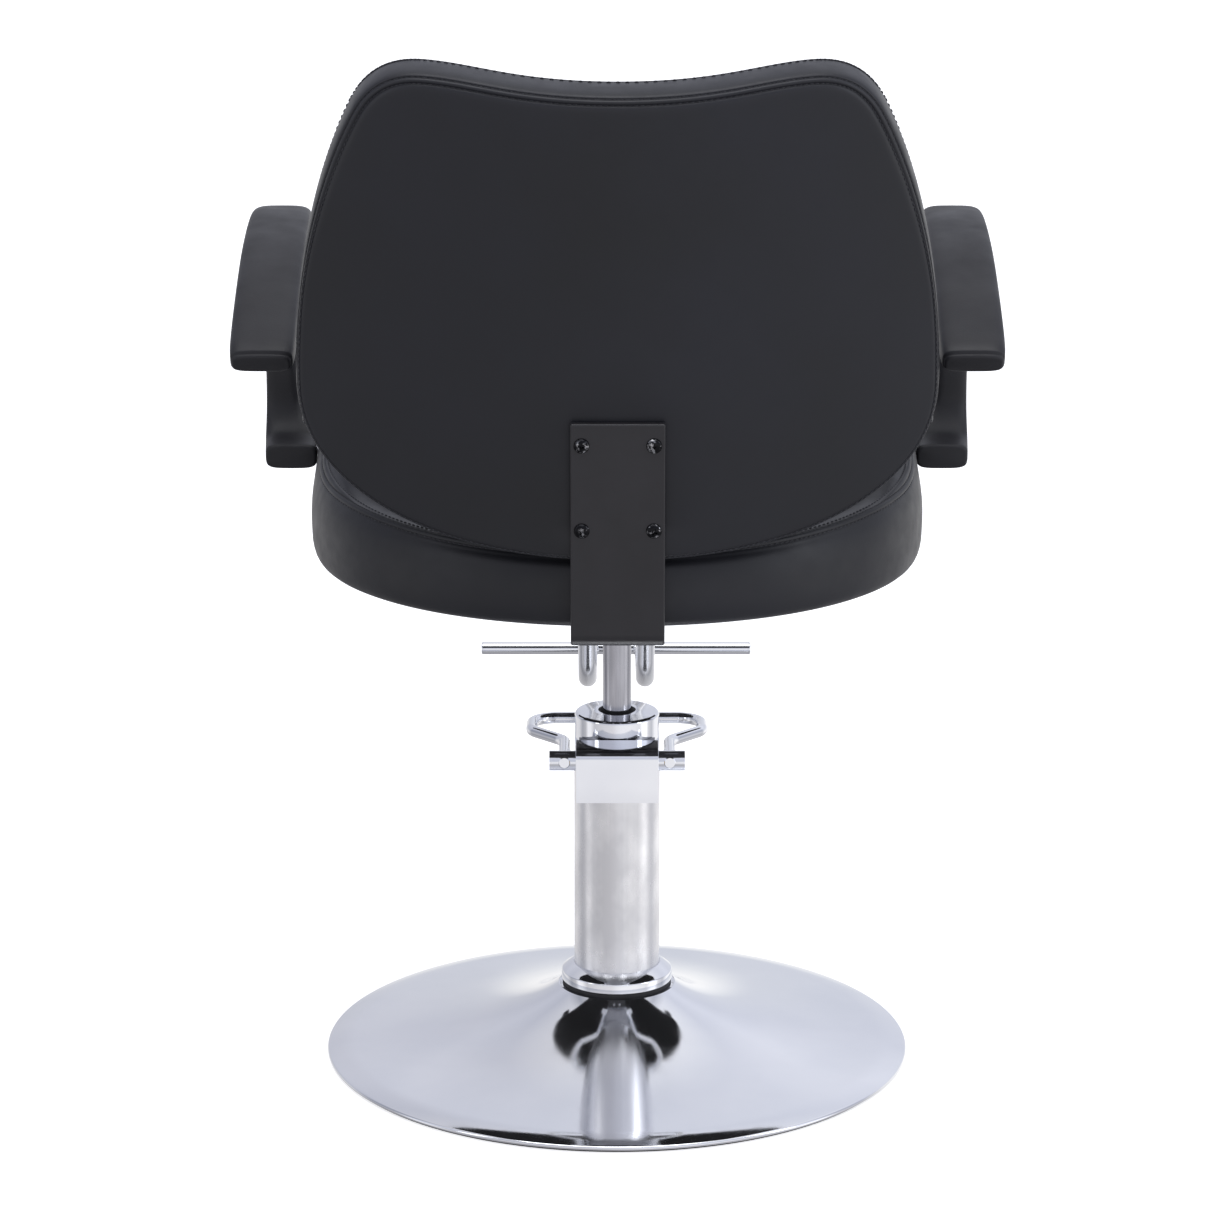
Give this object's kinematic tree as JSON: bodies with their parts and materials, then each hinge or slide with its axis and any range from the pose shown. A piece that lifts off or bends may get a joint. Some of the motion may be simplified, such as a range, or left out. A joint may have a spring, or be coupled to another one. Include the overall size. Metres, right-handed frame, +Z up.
{
  "type": "styling chair",
  "caption": "Hydraulic salon styling chair with a round disc base, foot pump lever, swivel seat, bracket-mounted curved back, loop armrests and a T-shaped footrest.",
  "frame": {"origin": "on the floor, on the axis of the column and piston rod", "axes": "+Z up, the sitter faces -Y, the sitter's left hand is towards +X"},
  "size_m": [0.6262, 0.7356, 0.8944],
  "materials": {
    "chrome": "polished",
    "brushed_tube": "brushed",
    "ground_rod": "ground",
    "plain_steel": "as rolled",
    "bolt_steel": "zinc plated",
    "dark_screw": "black oxide",
    "bracket_paint": "satin black powder coat",
    "bronze": "machined",
    "black_rubber": "matte",
    "black_vinyl": "soft satin upholstery vinyl with fine grain",
    "arm_skin": "self-skinned soft foam, fine satin grain",
    "board": "plywood",
    "dust_cloth": "thin black non-woven cloth"
  },
  "bodies": {
    "base": {"base_disc": "chrome", "base_floor_ring": "black_rubber", "base_weight_plate": "plain_steel", "base_pedestal_ring": "plain_steel", "base_mount_plate": "plain_steel", "base_bolts": "bolt_steel", "collar_gasket": "black_rubber", "base_collar": "chrome", "pump_foot_flange": "plain_steel", "pump_tube": "brushed_tube", "pump_inner_cylinder": "plain_steel", "pump_top_cap": "chrome", "rod_guide_bush": "bronze", "rod_wiper_seal": "black_rubber", "pump_block": "plain_steel", "axle_bushes": "bronze", "axle_cover": "chrome", "plunger_barrel": "plain_steel", "plunger_spring": "bolt_steel"},
    "lever": {"lever_axle": "chrome", "pump_lever": "chrome", "lever_cam": "plain_steel", "lever_set_screws": "dark_screw"},
    "plunger": {"pump_plunger": "ground_rod"},
    "lift": {"piston_head": "plain_steel", "piston_seal": "black_rubber", "thrust_washer": "bronze"},
    "seat": {"piston_rod": "ground_rod", "rod_end_nut": "bolt_steel", "seat_socket": "bracket_paint", "seat_mount_plate": "bracket_paint", "seat_plate_bolts": "bolt_steel", "seat_base_board": "board", "seat_side_rails": "board", "seat_dust_cover": "dust_cloth", "seat_cushion": "black_vinyl", "back_bracket": "bracket_paint", "bracket_screws": "dark_screw", "bracket_bolts": "bolt_steel", "back_board": "board", "back_panel": "black_vinyl", "back_cushion": "black_vinyl", "armrest_left": "arm_skin", "armrest_right": "arm_skin", "arm_insert_left": "plain_steel", "arm_insert_right": "plain_steel", "arm_bolts_left": "bolt_steel", "arm_bolts_right": "bolt_steel", "footrest_tube_left": "chrome", "footrest_tube_right": "chrome", "footrest_bar": "chrome", "footrest_bar_caps": "chrome", "footrest_mount_plate": "bracket_paint", "footrest_bolts": "bolt_steel"}
  },
  "joints": [
    {"name": "pump_lever_press", "type": "hinge", "parent": "base", "child": "lever", "pos_m": [0, 0.05, 0.274], "axis": [1, 0, 0], "range_deg": [0, 25], "stiffness_Nm_per_rad": 2, "springref_deg": -20.05},
    {"name": "plunger_stroke", "type": "slide", "parent": "base", "child": "plunger", "axis": [0, 0, -1], "range_m": [0, 0.0095], "deforming": ["plunger_spring"]},
    {"name": "seat_lift", "type": "slide", "parent": "base", "child": "lift", "axis": [0, 0, 1], "range_m": [-0.06, 0.09]},
    {"name": "seat_swivel", "type": "hinge", "parent": "lift", "child": "seat", "pos_m": [0, 0, 0.15], "axis": [0, 0, 1], "continuous": true}
  ],
  "couplings": [
    {"joint": "plunger_stroke", "follows": "pump_lever_press", "m_per_rad": 0.0213}
  ]
}
